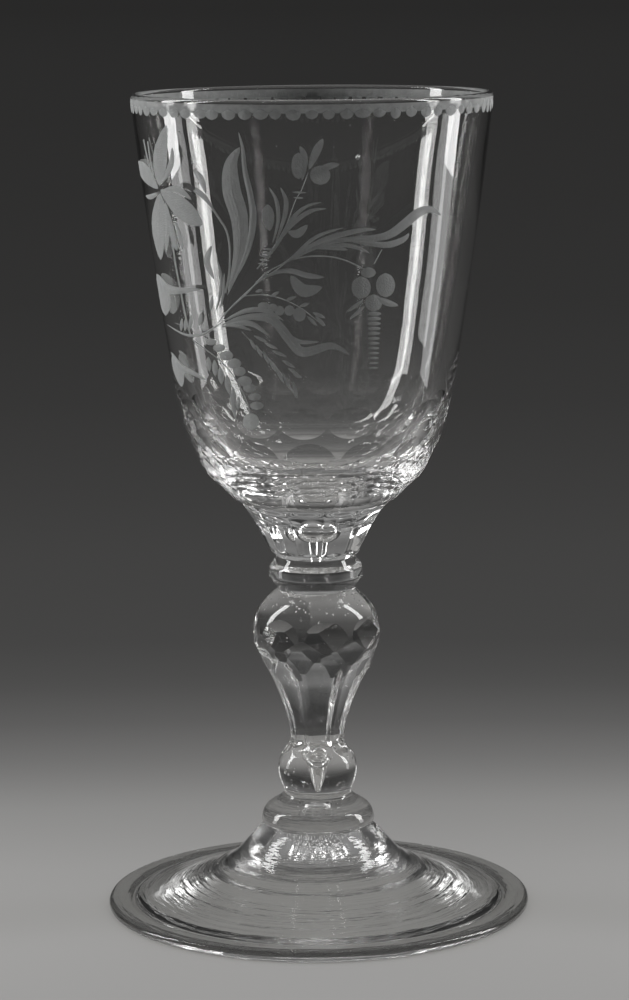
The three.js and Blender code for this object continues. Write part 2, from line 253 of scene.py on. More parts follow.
class Nodes:
    """The nodes of a material or of the world."""

    def __init__(self, tree):
        self.tree = tree

    def add(self, kind, inputs=None, **settings):
        """A new node. Each of its inputs takes a value or another node's output."""
        node = self.tree.nodes.new("ShaderNode" + kind)
        for name, value in settings.items():
            setattr(node, name, value)
        for socket, value in (inputs or {}).items():
            if isinstance(value, bpy.types.NodeSocket):
                self.tree.links.new(value, node.inputs[socket])
            else:
                node.inputs[socket].default_value = value
        return node

    def out(self, kind, inputs=None, output=0, **settings):
        """An output of a new node, the first if none is named."""
        return self.add(kind, inputs, **settings).outputs[output]

    def number(self, operation, first, second, **settings):
        return self.out("Math", {0: first, 1: second}, operation=operation, **settings)

    def vector(self, operation, first, second):
        return self.out("VectorMath", {0: first, 1: second}, operation=operation)

    def length(self, place):
        return self.out("VectorMath", {0: place}, "Value", operation="LENGTH")

    def part(self, place, axis):
        return self.out("SeparateXYZ", {"Vector": place}, axis)

    def noise(self, place, scale, detail):
        return self.out("TexNoise", {"Vector": place, "Scale": scale, "Detail": detail}, "Fac")

    def bump(self, height, strength, distance, normal=None):
        inputs = {"Height": height, "Strength": strength, "Distance": distance}
        if normal:
            inputs["Normal"] = normal
        return self.out("Bump", inputs)

    def either(self, share, first, second):
        """Goes from the first shader to the second as share goes from 0 to 1."""
        return self.out("MixShader", {"Fac": share, 1: first, 2: second})

    def show(self, shader):
        self.add("OutputMaterial", {"Surface": shader})


def new_material(name):
    m = bpy.data.materials.new(name)
    m.use_nodes = True
    m.node_tree.nodes.clear()
    return m, Nodes(m.node_tree)


def ring_coordinate(nodes, place):
    """Texture space that runs fast down and out over the glass and slowly round it."""
    flat = nodes.vector("MULTIPLY", place, (1, 1, 0))
    run = nodes.number("SUBTRACT", nodes.part(place, "Z"), nodes.length(flat))
    slow = nodes.out("VectorMath", {0: flat, "Scale": RING_DRIFT}, operation="SCALE")
    return nodes.vector("ADD", slow, nodes.out("CombineXYZ", {"Z": run}))


def glass_material(name, tint, bump, scale, rings=0.0, passed=LAMP_PASSED):
    """Clear glass with the faint waviness of hot work. Lamps shine through it as through thin glass. rings is
    the strength of fine marks that a turning tool left round it."""
    m, nodes = new_material(name)
    place = nodes.out("TexCoord", output="Object")
    stretched = nodes.out("Mapping", {"Vector": place, "Scale": WAVE_STRETCH})
    normal = nodes.bump(nodes.noise(stretched, scale, WAVE_DETAIL), bump, BUMP_HEIGHT)
    if rings:
        marks = nodes.noise(ring_coordinate(nodes, place), RING_SCALE, 2)
        normal = nodes.bump(marks, rings, BUMP_HEIGHT, normal)
    inputs = {
        "Base Color": (*tint, 1),
        "Roughness": 0.0,
        "IOR": GLASS_INDEX,
        "Transmission Weight": 1.0,
        "Normal": normal,
    }
    glass = nodes.out("BsdfPrincipled", inputs)
    through = nodes.out("BsdfTransparent", {"Color": (passed, passed, passed * LAMP_BLUE, 1)})
    lamp = nodes.out("LightPath", output="Is Shadow Ray")
    nodes.show(nodes.either(lamp, glass, through))
    return m


def engraved_material(name, thin, thick):
    """Matt ground glass: a thin white veil that scatters light both ways and lets some of what is behind it
    show. thin and thick are how much the veil covers. Its grains face all ways, so light from the side
    brightens it too."""
    m, nodes = new_material(name)
    place = nodes.out("TexCoord", output="Object")
    patches = nodes.noise(place, PATCH_SCALE, GROUND_DETAIL)
    covered = {"Value": patches, "From Min": 0.3, "From Max": 0.7, "To Min": thin, "To Max": thick}
    veil = nodes.out("MapRange", covered)
    grain = nodes.bump(nodes.noise(place, GRAIN_SCALE, GROUND_DETAIL), 1.0, GRAIN_HEIGHT)
    white = {"Color": (*VEIL_WHITE, 1), "Normal": grain}
    front = nodes.out("BsdfDiffuse", white)
    behind = nodes.out("BsdfTranslucent", white)
    clear = nodes.out("BsdfTransparent")
    nodes.show(nodes.either(veil, clear, nodes.either(0.5, front, behind)))
    return m


def joint_material():
    """The faces where two pieces are fused: nothing shows there, because the glass is continuous."""
    m, nodes = new_material("fused_joint")
    nodes.show(nodes.out("BsdfTransparent", {"Color": (1, 1, 1, 1)}))
    return m


clear_bowl = glass_material("clear_glass_bowl", (0.985, 0.985, 0.98), 0.004, 60)
clear_stem = glass_material("clear_glass_stem", (0.98, 0.98, 0.97), 0.04, 90)
clear_foot = glass_material("clear_glass_foot", (0.985, 0.985, 0.98), 0.06, 70, 0.09, FOOT_LAMP_PASSED)
engraved = engraved_material("ground_glass", 0.68, 0.85)
ground_band = engraved_material("ground_band", 0.28, 0.5)
fused = joint_material()


# Cuts

# Half width of the smooth step where a grinding wheel leaves the glass
LAND_ROUNDING = 0.06


def seat_on(outline, height):
    """Radius and downward tilt of an outline at a height."""
    i = int(np.argmax(outline[:, 1] >= height))
    low, high = outline[i - 1], outline[i]
    t = (height - low[1]) / (high[1] - low[1])
    tilt = math.atan2(high[0] - low[0], high[1] - low[1])
    return mix(low[0], high[0], t), height, tilt


def touching_sink(radius, tilt, count):
    """How deep flat cuts of one row are when neighbours just touch."""
    return radius * (1 - math.cos(math.pi / count)) * math.cos(tilt)


def wheel_block(wheel_radius, width, sink, reach=24.0, back=7.0, steps=28):
    """The part of a cutting wheel's edge that meets the glass, facing -X."""
    a = np.radians(np.linspace(-reach, reach, steps + 1))
    face = [(wheel_radius - sink - wheel_radius * math.cos(t), wheel_radius * math.sin(t)) for t in a]
    side = [*face, (back, face[-1][1]), (back, face[0][1])]
    n = len(side)
    verts = [(x, y, z) for y in (-width / 2, width / 2) for x, z in side]
    faces = [tuple(range(n)), tuple(range(2 * n - 1, n - 1, -1))]
    faces += [(i, i + n, (i + 1) % n + n, (i + 1) % n) for i in range(n)]
    return verts, faces


def cut_rows(o, rows):
    """Takes each row of cuts out of the piece. A row is (count, turn, radius, height, tilt, block). Every
    second cut is made together, so that neighbours that run into each other leave a sharp ridge. Each face
    keeps the number of its cut, or 0."""
    o.data.attributes.new("region", "INT", "FACE")
    mark = 0
    cutters = []
    for count, turn, radius, height, tilt, block in rows:
        verts, faces = block
        for half in (0, 1):
            all_verts, all_faces, marks = [], [], []
            for i in range(half, count, 2):
                mark += 1
                place = (
                    Matrix.Rotation(math.radians(turn) + i * 2 * math.pi / count, 4, "Z")
                    @ Matrix.Translation((radius, 0, height))
                    @ Matrix.Rotation(tilt, 4, "Y")
                )
                start = len(all_verts)
                all_verts += [place @ Vector(v) * MM for v in verts]
                all_faces += [tuple(k + start for k in f) for f in faces]
                marks += [mark] * len(faces)
            me = bpy.data.meshes.new("cutter")
            me.from_pydata(all_verts, [], all_faces)
            bm = bmesh.new()
            bm.from_mesh(me)
            bmesh.ops.recalc_face_normals(bm, faces=bm.faces)
            bm.to_mesh(me)
            bm.free()
            me.attributes.new("region", "INT", "FACE").data.foreach_set("value", marks)
            tool = new_object("cutter", me)
            tool.hide_render = True
            cutters.append(tool)
            cut = o.modifiers.new("cut", "BOOLEAN")
            cut.operation = "DIFFERENCE"
            cut.object = tool
            cut.solver = "MANIFOLD"
    made = bpy.data.meshes.new_from_object(o.evaluated_get(bpy.context.evaluated_depsgraph_get()))
    o.modifiers.clear()
    old = o.data
    o.data = made
    bpy.data.meshes.remove(old)
    for tool in cutters:
        me = tool.data
        bpy.data.objects.remove(tool)
        bpy.data.meshes.remove(me)


def flute_angles(count, turn, steps=17, crowding=1.8):
    """Angles for a fluted form, closer together where its ridges are."""
    t = np.linspace(0, 1, steps + 1)
    half = 1 - (1 - t) ** crowding
    across = np.concatenate([-half[:0:-1], half[:-1]]) * math.pi / count
    starts = math.radians(turn) + np.arange(count) * 2 * math.pi / count
    return (starts[:, None] + across[None, :]).ravel()


def flutes(count, turn, share, hollow, ridge=0.1, lift=None):
    """Grinds hollow flutes that meet in ridges worn a little round. share(height) goes from 0, round, to 1,
    fluted. hollow is a flute's depth below flat, ridge the worn part of its half width. lift(height) is how
    far the grinding has left the glass, so that a flute runs out in a point."""
    pitch = 2 * math.pi / count

    def form(r, z, a):
        across = a - math.radians(turn)
        across = across - pitch * np.round(across / pitch)
        u = np.abs(across) / (pitch / 2)
        slope = 2 * hollow + r * math.tan(pitch / 2) * (pitch / 2)

        def depth(v):
            flat = math.cos(pitch / 2) / np.cos(v * pitch / 2)
            return r * (1 - flat) + hollow * (1 - v * v)

        past = np.clip(u - (1 - ridge), 0, ridge)
        inner = depth(np.minimum(u, 1 - ridge))
        cut = inner - slope * (past - past**2 / (2 * ridge))
        if lift:
            left = cut - lift(z)
            cut = (left + np.sqrt(left**2 + LAND_ROUNDING**2)) / 2
        return r - cut * share(z), z

    return form


def clear_piece(shell, node, glass, angle, rows=()):
    """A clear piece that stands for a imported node, with its cuts. Edges are crisp from this angle on."""
    name, level = node + "_glass", LEVELS[node]
    o = new_object(name, shell.mesh(name, 0 if rows else level))
    if rows:
        cut_rows(o, rows)
        o.data.transform(Matrix.Translation((0, 0, level * MM)))
    shade(o.data, angle)
    finish_piece(o, node, [glass, fused])


# Bowl

# Outline outside, from the joint to below the lip, and inside, from the lip to the floor: [radius, height] as
# shares of the way
BOWL_FORM = [
    (0, 0), (0.15, 0.0255), (0.25, 0.0505), (0.345, 0.076), (0.405, 0.102), (0.482, 0.15), (0.556, 0.21),
    (0.63, 0.3), (0.75, 0.495), (0.885, 0.739), (0.972, 0.915),
]
BOWL_HOLLOW = [
    (1, 1), (0.972, 0.92), (0.895, 0.73), (0.815, 0.5), (0.735, 0.3), (0.66, 0.185), (0.55, 0.095),
    (0.38, 0.036), (0.2, 0.008), (0, 0),
]

# Hollow facets: count, turn, height, and radius and width of the wheel
LARGE_FACETS = (18, 5.3, 23.3, 19, 14)
TALL_FACETS = (14, 10.5, 12.2, 62, 16)
FACET_REACH = 9
# Rows of small facets: height, turn and how much deeper they are cut than to touch their neighbours
SMALL_FACETS = 28
SMALL_FACET_ROWS = ((10.2, 10.3, 0.5), (7.3, 3.9, 0.32), (3.3, 6.4, 0.42))
SMALL_WHEEL_RADIUS, SMALL_WHEEL_WIDTH, SMALL_WHEEL_REACH = 60, 7, 4.0

# Tiny bubbles in the wall: radius, angle in degrees and height of the one that shows, and the smaller ones
SEED_BUBBLE = (0.62, -75.4, 85.7)
BOWL_SEEDS = 36
BOWL_SEED_SIZES = (0.13, 0.24)
BOWL_SEED_HEIGHTS = (48, 94)


def bowl_outside(steps=170):
    stations = shares(BOWL_JOINT, RIM_RADIUS, 0, BOWL_HEIGHT, BOWL_FORM)
    return spline([*stations, (RIM_RADIUS, BOWL_HEIGHT - RIM_WALL / 2)], steps)


def make_bowl():
    outside = bowl_outside()
    mouth = RIM_RADIUS - RIM_WALL
    inside = spline(shares(0, mouth, BOWL_FLOOR, BOWL_HEIGHT - RIM_WALL / 2, BOWL_HOLLOW), 150)
    lip = arc(RIM_RADIUS - RIM_WALL / 2, BOWL_HEIGHT - RIM_WALL / 2, RIM_WALL / 2, 0, 180, 20)
    outline = np.concatenate([[(0, 0)], outside, lip[1:-1], inside])
    shell = Shell()
    shell.turned(outline, 360, joints=(True, False))
    rng = random.Random(3)
    seeds = [SEED_BUBBLE]
    for _ in range(BOWL_SEEDS):
        seeds.append((rng.uniform(*BOWL_SEED_SIZES), rng.uniform(0, 360), rng.uniform(*BOWL_SEED_HEIGHTS)))
    for size, angle, height in seeds:
        outer = np.interp(height, outside[:, 1], outside[:, 0])
        inner = np.interp(height, inside[::-1, 1], inside[::-1, 0])
        shell.seed(size, (outer + inner) / 2, math.radians(angle), height)
    rows = []
    for height, turn, extra in SMALL_FACET_ROWS:
        radius, height, tilt = seat_on(outside, height)
        sink = touching_sink(radius, tilt, SMALL_FACETS) + extra
        block = wheel_block(SMALL_WHEEL_RADIUS, SMALL_WHEEL_WIDTH, sink, SMALL_WHEEL_REACH, back=4.0, steps=6)
        rows.append((SMALL_FACETS, turn, radius, height, tilt, block))
    for count, turn, height, wheel, width in (TALL_FACETS, LARGE_FACETS):
        radius, height, tilt = seat_on(outside, height)
        reach = math.degrees(FACET_REACH / wheel)
        block = wheel_block(wheel, width, touching_sink(radius, tilt, count), reach)
        rows.append((count, turn, radius, height, tilt, block))
    clear_piece(shell, "bowl", clear_bowl, 25, rows)


# Engraving

# The sprig is drawn as it is seen from the front, in steps across and down from a corner up and to the left
# of it, and thrown from the eye onto the outside of the bowl
STEP = 0.482
SHEET_LEFT = -45.36
SHEET_TOP = 203.0
EYE_DISTANCE, EYE_HEIGHT = 796.0, 232.9

# Leaves: half width, middle line, and where along it the leaf is widest if that isn't the middle
FLOWER = [
    (3.4, [(18, 52), (18.2, 43), (19, 33), (21.8, 22)]),
    (1.4, [(19.5, 50.5), (22.5, 45), (24.3, 39), (24.5, 33)]),
    (2.8, [(17, 53.5), (13, 49), (9.5, 43), (7.6, 39.6)]), (1.3, [(16.5, 56), (13.5, 57.5), (11, 57)]),
    (4.8, [(18.5, 54), (25, 59.5), (31.5, 66), (39, 71.8)], 0.6), (1.5, [(20, 54), (27, 54), (33.5, 59)]),
    (3.6, [(18, 56), (17.5, 66), (17.3, 77), (18, 89)], 0.45), (1.3, [(20.5, 60), (21.8, 70), (20.8, 85)]),
    (1.4, [(22.5, 66), (24, 76), (26, 84.5)], 0.6), (1.1, [(25.5, 70), (27.5, 77), (29, 84)], 0.6),
]
TALL_LEAVES = [
    (4.6, [(58, 33.5), (53.5, 42), (53.8, 55), (57.5, 69), (57, 86), (51.5, 105.5)], 0.45),
    (1.5, [(57.6, 26), (59.5, 34), (60.5, 45), (63.2, 58), (64, 68), (62.3, 80), (58.5, 91), (51, 107)]),
    (0.7, [(65.5, 62), (65.2, 72), (62, 85), (57, 96)]), (1.6, [(34.8, 44), (38.4, 48.5), (41, 56)]),
    (1.2, [(35.5, 53), (40, 57.5), (44, 63)]), (1.6, [(43.5, 82), (41, 90), (44.5, 99)]),
    (0.8, [(46, 89), (48, 98), (47, 108), (45, 115)]), (0.6, [(49.5, 96), (49, 106), (47, 114)]),
    (1.0, [(43.5, 107), (42.5, 115)]),
]
BUD_LEAVES = [
    (1.7, [(88, 33), (90.2, 39), (89, 50)]), (2.1, [(99.5, 29.5), (96, 36), (92.5, 44.5)], 0.45),
    (1.6, [(107.5, 42.2), (101, 43.5), (93, 47.5)], 0.4), (0.5, [(84, 55.8), (91, 56.2)]),
    (0.5, [(84.5, 58.5), (89.5, 58.8)]), (3.1, [(71.5, 61.8), (71.8, 68), (72.5, 75)], 0.45),
    (1.0, [(72.5, 53.5), (76, 60), (76.8, 70), (74, 81)]),
    (1.2, [(78.2, 53.5), (80.8, 60), (80, 68), (75.5, 81)]),
    (1.0, [(98.5, 61), (91, 63), (84, 69), (76, 82), (71, 89)]),
    (1.2, [(101, 64.2), (94, 65), (87, 69), (80, 76), (75, 84)]),
    (2.1, [(81.8, 75.5), (86.5, 76.5), (91.5, 72.2)]),
]
RIGHT_LEAVES = [
    (0.9, [(109.5, 73.8), (101, 76), (93, 80), (83, 89), (75, 93.5)], 0.45),
    (1.4, [(125.5, 74.8), (119, 75), (109, 77), (99, 80), (89, 85), (80, 91)], 0.45),
    (2.3, [(158, 68), (153, 65), (147, 66.5), (140, 72), (133, 77), (125, 79), (103, 81), (80, 91)], 0.35),
    (1.6, [(142, 76.8), (139, 80), (131, 82.5), (121, 81.5), (110, 80)], 0.4),
    (1.0, [(122, 86.5), (117, 84), (109, 82.5), (98, 83.5), (88, 85.5)], 0.4),
    (0.9, [(111.5, 84.8), (105, 84), (95, 84)], 0.4), (0.9, [(119, 110), (115, 113), (110.5, 116.2)]),
    (0.9, [(119.5, 113), (116.5, 116), (112.2, 119.5)]), (1.6, [(126, 109), (131, 111.5), (136.5, 113)]),
    (1.4, [(65, 100.5), (75, 96), (83, 95.2), (91, 97.5), (99.5, 98.5)], 0.75),
    (3.2, [(82.8, 97.5), (89, 105), (98.5, 103.5)]),
]
LOWER_LEAVES = [
    (0.8, [(65, 105.5), (69, 104.5)]), (0.9, [(72.5, 108), (77, 105.5)]), (0.9, [(80, 110), (85.5, 108)]),
    (0.9, [(87, 113), (92, 111.5)]), (1.0, [(93.5, 116), (100, 119)]), (0.9, [(91, 118), (96, 123)]),
    (0.9, [(95, 118), (100, 123)]),
    (2.5, [(48, 122), (56, 119), (65, 118), (74, 120), (83, 131), (89, 136), (103, 133), (111.8, 137.5)],
     0.65),
    (1.3, [(49, 120), (60, 115), (70, 115), (79, 120)]),
    (1.4, [(48, 123), (56, 121), (64, 122), (72, 128)]), (0.9, [(50, 122.5), (56, 122.5), (63, 125)]),
    (1.0, [(82, 127.5), (88, 131), (96.5, 130.8)]),
    (0.7, [(20.5, 121.5), (29, 126.5), (37, 127), (44, 123.5), (50, 119)]),
]
FERN_LEAVES = [
    (0.8, [(64, 127.5), (71, 131)]), (0.8, [(69, 131), (76, 134.5)]), (0.8, [(73, 135), (80.5, 138.5)]),
    (0.8, [(78, 140), (84.5, 144)]), (0.8, [(81, 144), (87, 148)]), (0.8, [(83.5, 147), (88, 149)]),
    (0.8, [(62, 129), (65, 135)]), (0.8, [(65, 132), (68, 138.5)]), (0.8, [(68.5, 135), (71.5, 142)]),
    (0.8, [(71.5, 139), (75, 146)]), (0.8, [(74.5, 143), (79, 152)]), (0.8, [(78, 146), (82.5, 155.5)]),
    (0.9, [(83.5, 151), (85.5, 159.5)]),
]
BEADED_LEAVES = [
    (1.2, [(41, 138), (41.5, 145.5)]), (1.4, [(44, 139.5), (44.5, 148)]), (1.6, [(47, 143), (47.5, 152)]),
    (1.6, [(50, 147), (51.5, 157)]), (1.4, [(53, 153), (54, 164)]), (1.2, [(56, 158), (55.5, 165)]),
    (1.0, [(52, 156), (54.5, 170)]),
]
EDGE_LEAVES = [
    (2.2, [(15.8, 96), (20, 103), (26, 104.5), (37.8, 104)], 0.4),
    (2.8, [(16, 97), (19.5, 108), (20, 117)]), (1.4, [(22.5, 135.5), (27, 143), (33, 146), (40, 150)], 0.4),
    (2.4, [(23, 137), (26, 145), (27.5, 153)]), (0.8, [(27.5, 125), (28, 118.5)]),
    (0.8, [(29.5, 125), (30, 118)]), (1.0, [(32, 124), (33, 116.5)]), (1.2, [(36.5, 122.5), (38, 115.5)]),
]
# Fine stems: half width and middle line
STEMS = [
    (0.3, [(13.8, 46), (12, 38), (10.3, 29)]),
    (0.3, [(15, 47), (13.5, 39), (12.4, 30)]),
    (0.35, [(22, 69), (24, 82), (25.5, 93), (27.5, 104), (30, 118), (32.5, 128)]),
    (0.45, [(35, 54.5), (42, 61), (47, 68), (51, 75), (52.5, 84), (52, 96), (50, 106)]),
    (0.22, [(92, 46), (88.5, 55), (85.5, 60), (80, 74), (73, 85), (66, 94)]),
    (0.3, [(83, 89), (75, 95), (66, 101), (56, 110), (48, 118)]),
    (0.3, [(80, 91), (70, 96.5), (61, 106), (52, 114), (46, 121)]),
    (0.3, [(83.5, 89.5), (91, 88), (101, 88), (110, 90), (119.5, 94.5)]),
    (0.18, [(124.5, 92), (128.5, 84.8)]),
    (0.25, [(59.5, 107.5), (69, 107), (78, 109), (88, 114), (99, 123)]),
    (0.2, [(58, 125.5), (65, 133), (72, 140), (79, 149), (85, 159)]),
    (0.25, [(33, 129), (40, 134.5), (47, 140), (53, 147), (58, 156), (61, 164), (62, 169)]),
]
# Round beads: place and half sizes
BEADS = [
    (87.2, 42.8, 3.5, 6.5), (98, 47.5, 5, 4.8), (121.7, 96.3, 3.6, 2.6), (118, 103.8, 4.8, 5.5),
    (130.2, 102.7, 4.7, 6), (124.2, 111.5, 4.2, 4.2), (69, 112.5, 2.8, 1.8), (73.5, 113.5, 2.6, 2),
    (77, 115, 2.4, 2.4), (82, 115, 2.6, 2.6), (87, 117, 3.2, 3.6), (42.5, 130.5, 2.8, 1.6),
    (46.5, 133.5, 3, 2), (50, 137.5, 3.4, 2.4), (54, 141.5, 3.4, 2.6), (56.5, 145.5, 3, 2.4),
    (59, 150.5, 3.6, 2.6), (61.5, 154, 3.2, 2.2), (64, 158.5, 3.2, 1.8), (65, 163, 3.4, 2),
    (62, 171, 4, 4.2),
]
# Bars of the pendant, from the first to the last
PENDANT_BARS = 12
PENDANT_TOP, PENDANT_END = (124.6, 117, 3.4, 1.0), (124, 144.3, 2.3, 0.4)
# Left ends of the ticks across a stem, from the first to the last, and how far each runs across and down
STEM_TICKS = 5
TICKS_TOP, TICKS_END = (69.8, 84), (66.3, 91.2)
TICK = (5.2, 0.5)
RELIEF_EDGE, RELIEF_MIDDLE, RELIEF_UNDER = 0.015, 0.17, -0.02
# A leaf with more than this half width is cut in several grooves side by side
WIDE_LEAF = 2.3
# Points across a leaf with grooves, a plain leaf, a bead and a stem
VEINED, PLAIN, BEADED, THIN = 19, 7, 9, 3
# A round mark ends this share of its half height from its middle, where it still has a little width
ROUND_END = 0.995
GROOVES, GROOVE_DEPTH = 3, 0.4


def on_bowl(across, down):
    """Where points of the sheet fall on the outside of the bowl: angle and height."""
    outside = bowl_outside()
    x = SHEET_LEFT + np.asarray(across, float) * STEP
    level = SHEET_TOP - np.asarray(down, float) * STEP
    z, angle = level, np.zeros_like(x)
    for _ in range(12):
        r = np.interp(z - BOWL_LEVEL, outside[:, 1], outside[:, 0])
        share = 1 - r * np.cos(angle) / EYE_DISTANCE
        angle = np.arcsin(np.clip(x * share / r, -0.995, 0.995))
        z = EYE_HEIGHT + (level - EYE_HEIGHT) * share
    return angle - math.pi / 2, z


def raised_patch(shell, angle, z, mark=0):
    """A thin closed scale that lies on the bowl, a little thicker in the middle. Rows run along it."""
    outside = bowl_outside()
    along, wide = angle.shape
    r = np.interp(z - BOWL_LEVEL, outside[:, 1], outside[:, 0])
    across = np.abs(np.linspace(-1, 1, wide))[None, :]
    height = 1 - across
    if wide >= VEINED:
        height = height * (1 - GROOVE_DEPTH + GROOVE_DEPTH * np.cos(GROOVES * 2 * math.pi * across))
    ends = np.sin(np.linspace(0, math.pi, along))[:, None] ** 0.5
    top = r + RELIEF_EDGE + (RELIEF_MIDDLE - RELIEF_EDGE) * height * ends
    under = r + RELIEF_UNDER

    def place(radius):
        return np.stack([radius * np.cos(angle), radius * np.sin(angle), z], 2).reshape(-1, 3)

    n = top.size
    faces = []
    for i in range(along - 1):
        for j in range(wide - 1):
            a, b = i * wide + j, i * wide + j + 1
            faces.append((a, b, b + wide, a + wide))
            faces.append((a + wide + n, b + wide + n, b + n, a + n))
    grid = np.arange(n).reshape(along, wide)
    rim = [*grid[0], *grid[1:, -1], *grid[-1, -2::-1], *grid[-2:0:-1, 0]]
    for a, b in zip(rim, rim[1:] + rim[:1]):
        faces.append((b, a, a + n, b + n))
    shell.add(np.concatenate([place(top), place(under)]), faces, [mark] * len(faces))


def stroke(shell, line, half, wide):
    """A strip along a line of the sheet. half is its half width at each point of the line."""
    ahead = np.gradient(line, axis=0)
    ahead /= np.linalg.norm(ahead, axis=1)[:, None] + 1e-9
    beside = np.stack([-ahead[:, 1], ahead[:, 0]], 1)
    t = np.linspace(-1, 1, wide)
    at = line[:, None, :] + beside[:, None, :] * (half[:, None] * t[None, :])[:, :, None]
    angle, z = on_bowl(at[:, :, 0], at[:, :, 1])
    raised_patch(shell, angle, z)


def leaf(shell, half, points, fullest=0.5):
    """A pointed leaf along a middle line. fullest is where along it the leaf is widest."""
    steps = max(10, 7 * (len(points) - 1))
    line = spline(points, steps) if len(points) > 2 else np.linspace(points[0], points[1], steps + 1)
    t = np.linspace(0, 1, steps + 1)
    rise = np.where(t < fullest, t / fullest, (1 - t) / (1 - fullest))
    widths = half * mix(0.03, 1, np.sin(rise * math.pi / 2) ** 0.85)
    stroke(shell, line, widths, VEINED if half > WIDE_LEAF else PLAIN)


def stem_line(shell, half, points):
    steps = 6 * (len(points) - 1)
    stroke(shell, spline(points, steps), np.full(steps + 1, half), THIN)


def bead(shell, across, down, wide, tall):
    t = np.linspace(-ROUND_END, ROUND_END, 15)
    line = np.stack([np.full(len(t), float(across)), down + tall * t], 1)
    stroke(shell, line, wide * np.sqrt(1 - t**2), BEADED)


def make_sprig():
    shell = Shell()
    leaves = FLOWER + TALL_LEAVES + BUD_LEAVES + RIGHT_LEAVES
    leaves += LOWER_LEAVES + FERN_LEAVES + BEADED_LEAVES + EDGE_LEAVES
    for shape in leaves:
        leaf(shell, *shape)
    for half, points in STEMS:
        stem_line(shell, half, points)
    for place in BEADS:
        bead(shell, *place)
    for i in range(PENDANT_BARS):
        bead(shell, *[mix(a, b, i / (PENDANT_BARS - 1)) for a, b in zip(PENDANT_TOP, PENDANT_END)])
    for i in range(STEM_TICKS):
        left, down = [mix(a, b, i / (STEM_TICKS - 1)) for a, b in zip(TICKS_TOP, TICKS_END)]
        leaf(shell, 0.5, [(left, down), (left + TICK[0], down + TICK[1])])
    o = new_object("sprig_engraving", shell.mesh("sprig_engraving"))
    shade(o.data, 50)
    finish_piece(o, None, [engraved])


RIM_DOTS = 68
RIM_DOT_HEIGHT = 196.9
RIM_BAND_HEIGHTS = (196.9, 198.9)
# Half sizes of a dot, and how far it may stray up, down and round, the last as a share of the spacing
DOT_WIDE, DOT_TALL = (1.25, 1.95), (1.15, 1.6)
DOT_STRAY, DOT_TURN_STRAY = 0.15, 0.12
BAND_STEPS = 180
# Materials of the border, by number
DOT, BAND = 0, 1


def make_rim_border():
    """Ground dots that hang from a fainter ground band under the rim."""
    rng = random.Random(5)
    shell = Shell()
    angle, z = np.meshgrid(
        np.linspace(0, 2 * math.pi, BAND_STEPS + 1),
        np.linspace(*RIM_BAND_HEIGHTS, 5),
        indexing="ij",
    )
    raised_patch(shell, angle, z, BAND)
    t = np.linspace(-ROUND_END, ROUND_END, 13)
    across = np.linspace(-1, 1, BEADED)
    for i in range(RIM_DOTS):
        angle = 2 * math.pi * (i + rng.uniform(-DOT_TURN_STRAY, DOT_TURN_STRAY)) / RIM_DOTS
        wide = rng.uniform(*DOT_WIDE)
        tall = rng.uniform(*DOT_TALL)
        height = RIM_DOT_HEIGHT + rng.uniform(-DOT_STRAY, DOT_STRAY)
        z = np.repeat((height + tall * t)[:, None], BEADED, 1)
        a = angle + wide * np.sqrt(1 - t**2)[:, None] * across[None, :] / RIM_RADIUS
        raised_patch(shell, a, z, DOT)
    o = new_object("rim_border", shell.mesh("rim_border"))
    shade(o.data, 50)
    finish_piece(o, None, [engraved, ground_band])


# Stem


def bubble(radius, height, centre, tail_radius, tail_end, taper, steps=40):
    """A tear of air: a round head that draws down into a tail, from its lowest point up. taper is how much
    narrower the tail gets towards its end."""
    head = arc(0, 0, 1, -90 + math.degrees(math.asin(tail_radius / radius)), 90, steps)
    head = head * (radius, height / 2) + (0, centre)
    neck = head[0]
    fall = np.linspace(0, 1, 14)[1:-1]
    tail = [(tail_radius * (1 - taper * (1 - t)), mix(tail_end, neck[1], t)) for t in fall]
    head[-1, 0] = 0
    return np.concatenate([[(0, tail_end)], [(tail_radius * (1 - taper) * 0.7, tail_end + 0.06)], tail, head])


BASE_FLUTES = 12
BASE_TURN = 22.4
BASE_HOLLOW = 0.03
BASE_RIDGE = 0.06
BASE_BEVEL = 1.1
# Shares of the height between which the flutes fade into the bowl
BASE_FADE = (0.87, 0.995)
# Tears of air: radius, height and middle of the head, radius of the tail, where it ends and its taper
BASE_TEAR = (4.5, 7.4, 9.3, 1.3, 1.6, 0.35)
KNOP_TEAR = (2.7, 5.4, 6.6, 1.6, 0.3, 0.8)
DISC_TEAR_SIZE, DISC_TEAR_MIDDLE = (3.1, 1.15), 1.3


def make_bowl_base():
    bevel = (0.14, BASE_BEVEL / BASE_HEIGHT)
    side = [bevel, (0.32, 0.268), (0.462, 0.452), (0.624, 0.637), (0.814, 0.82), (1, 1)]
    stations = shares(BASE_JOINT, BOWL_JOINT, 0, BASE_HEIGHT, side)
    lower = np.linspace((BASE_JOINT, 0), stations[0], 5)[:-1]
    outline = capped(np.concatenate([lower, spline(stations, 70)]), BASE_HEIGHT)

    def share(z):
        risen = smoothstep(z, BASE_BEVEL, BASE_BEVEL * 2)
        return risen * (1 - smoothstep(z, BASE_HEIGHT * BASE_FADE[0], BASE_HEIGHT * BASE_FADE[1]))

    shell = Shell()
    form = flutes(BASE_FLUTES, BASE_TURN, share, BASE_HOLLOW, BASE_RIDGE)
    shell.turned(outline, flute_angles(BASE_FLUTES, BASE_TURN, 15), form, (True, True))
    shell.turned(bubble(*BASE_TEAR), 64, inward=True)
    clear_piece(shell, "bowl_base", clear_stem, 12)


UPPER_COLLAR_RADIUS = 11.4
UPPER_COLLAR_WEAR = 0.4


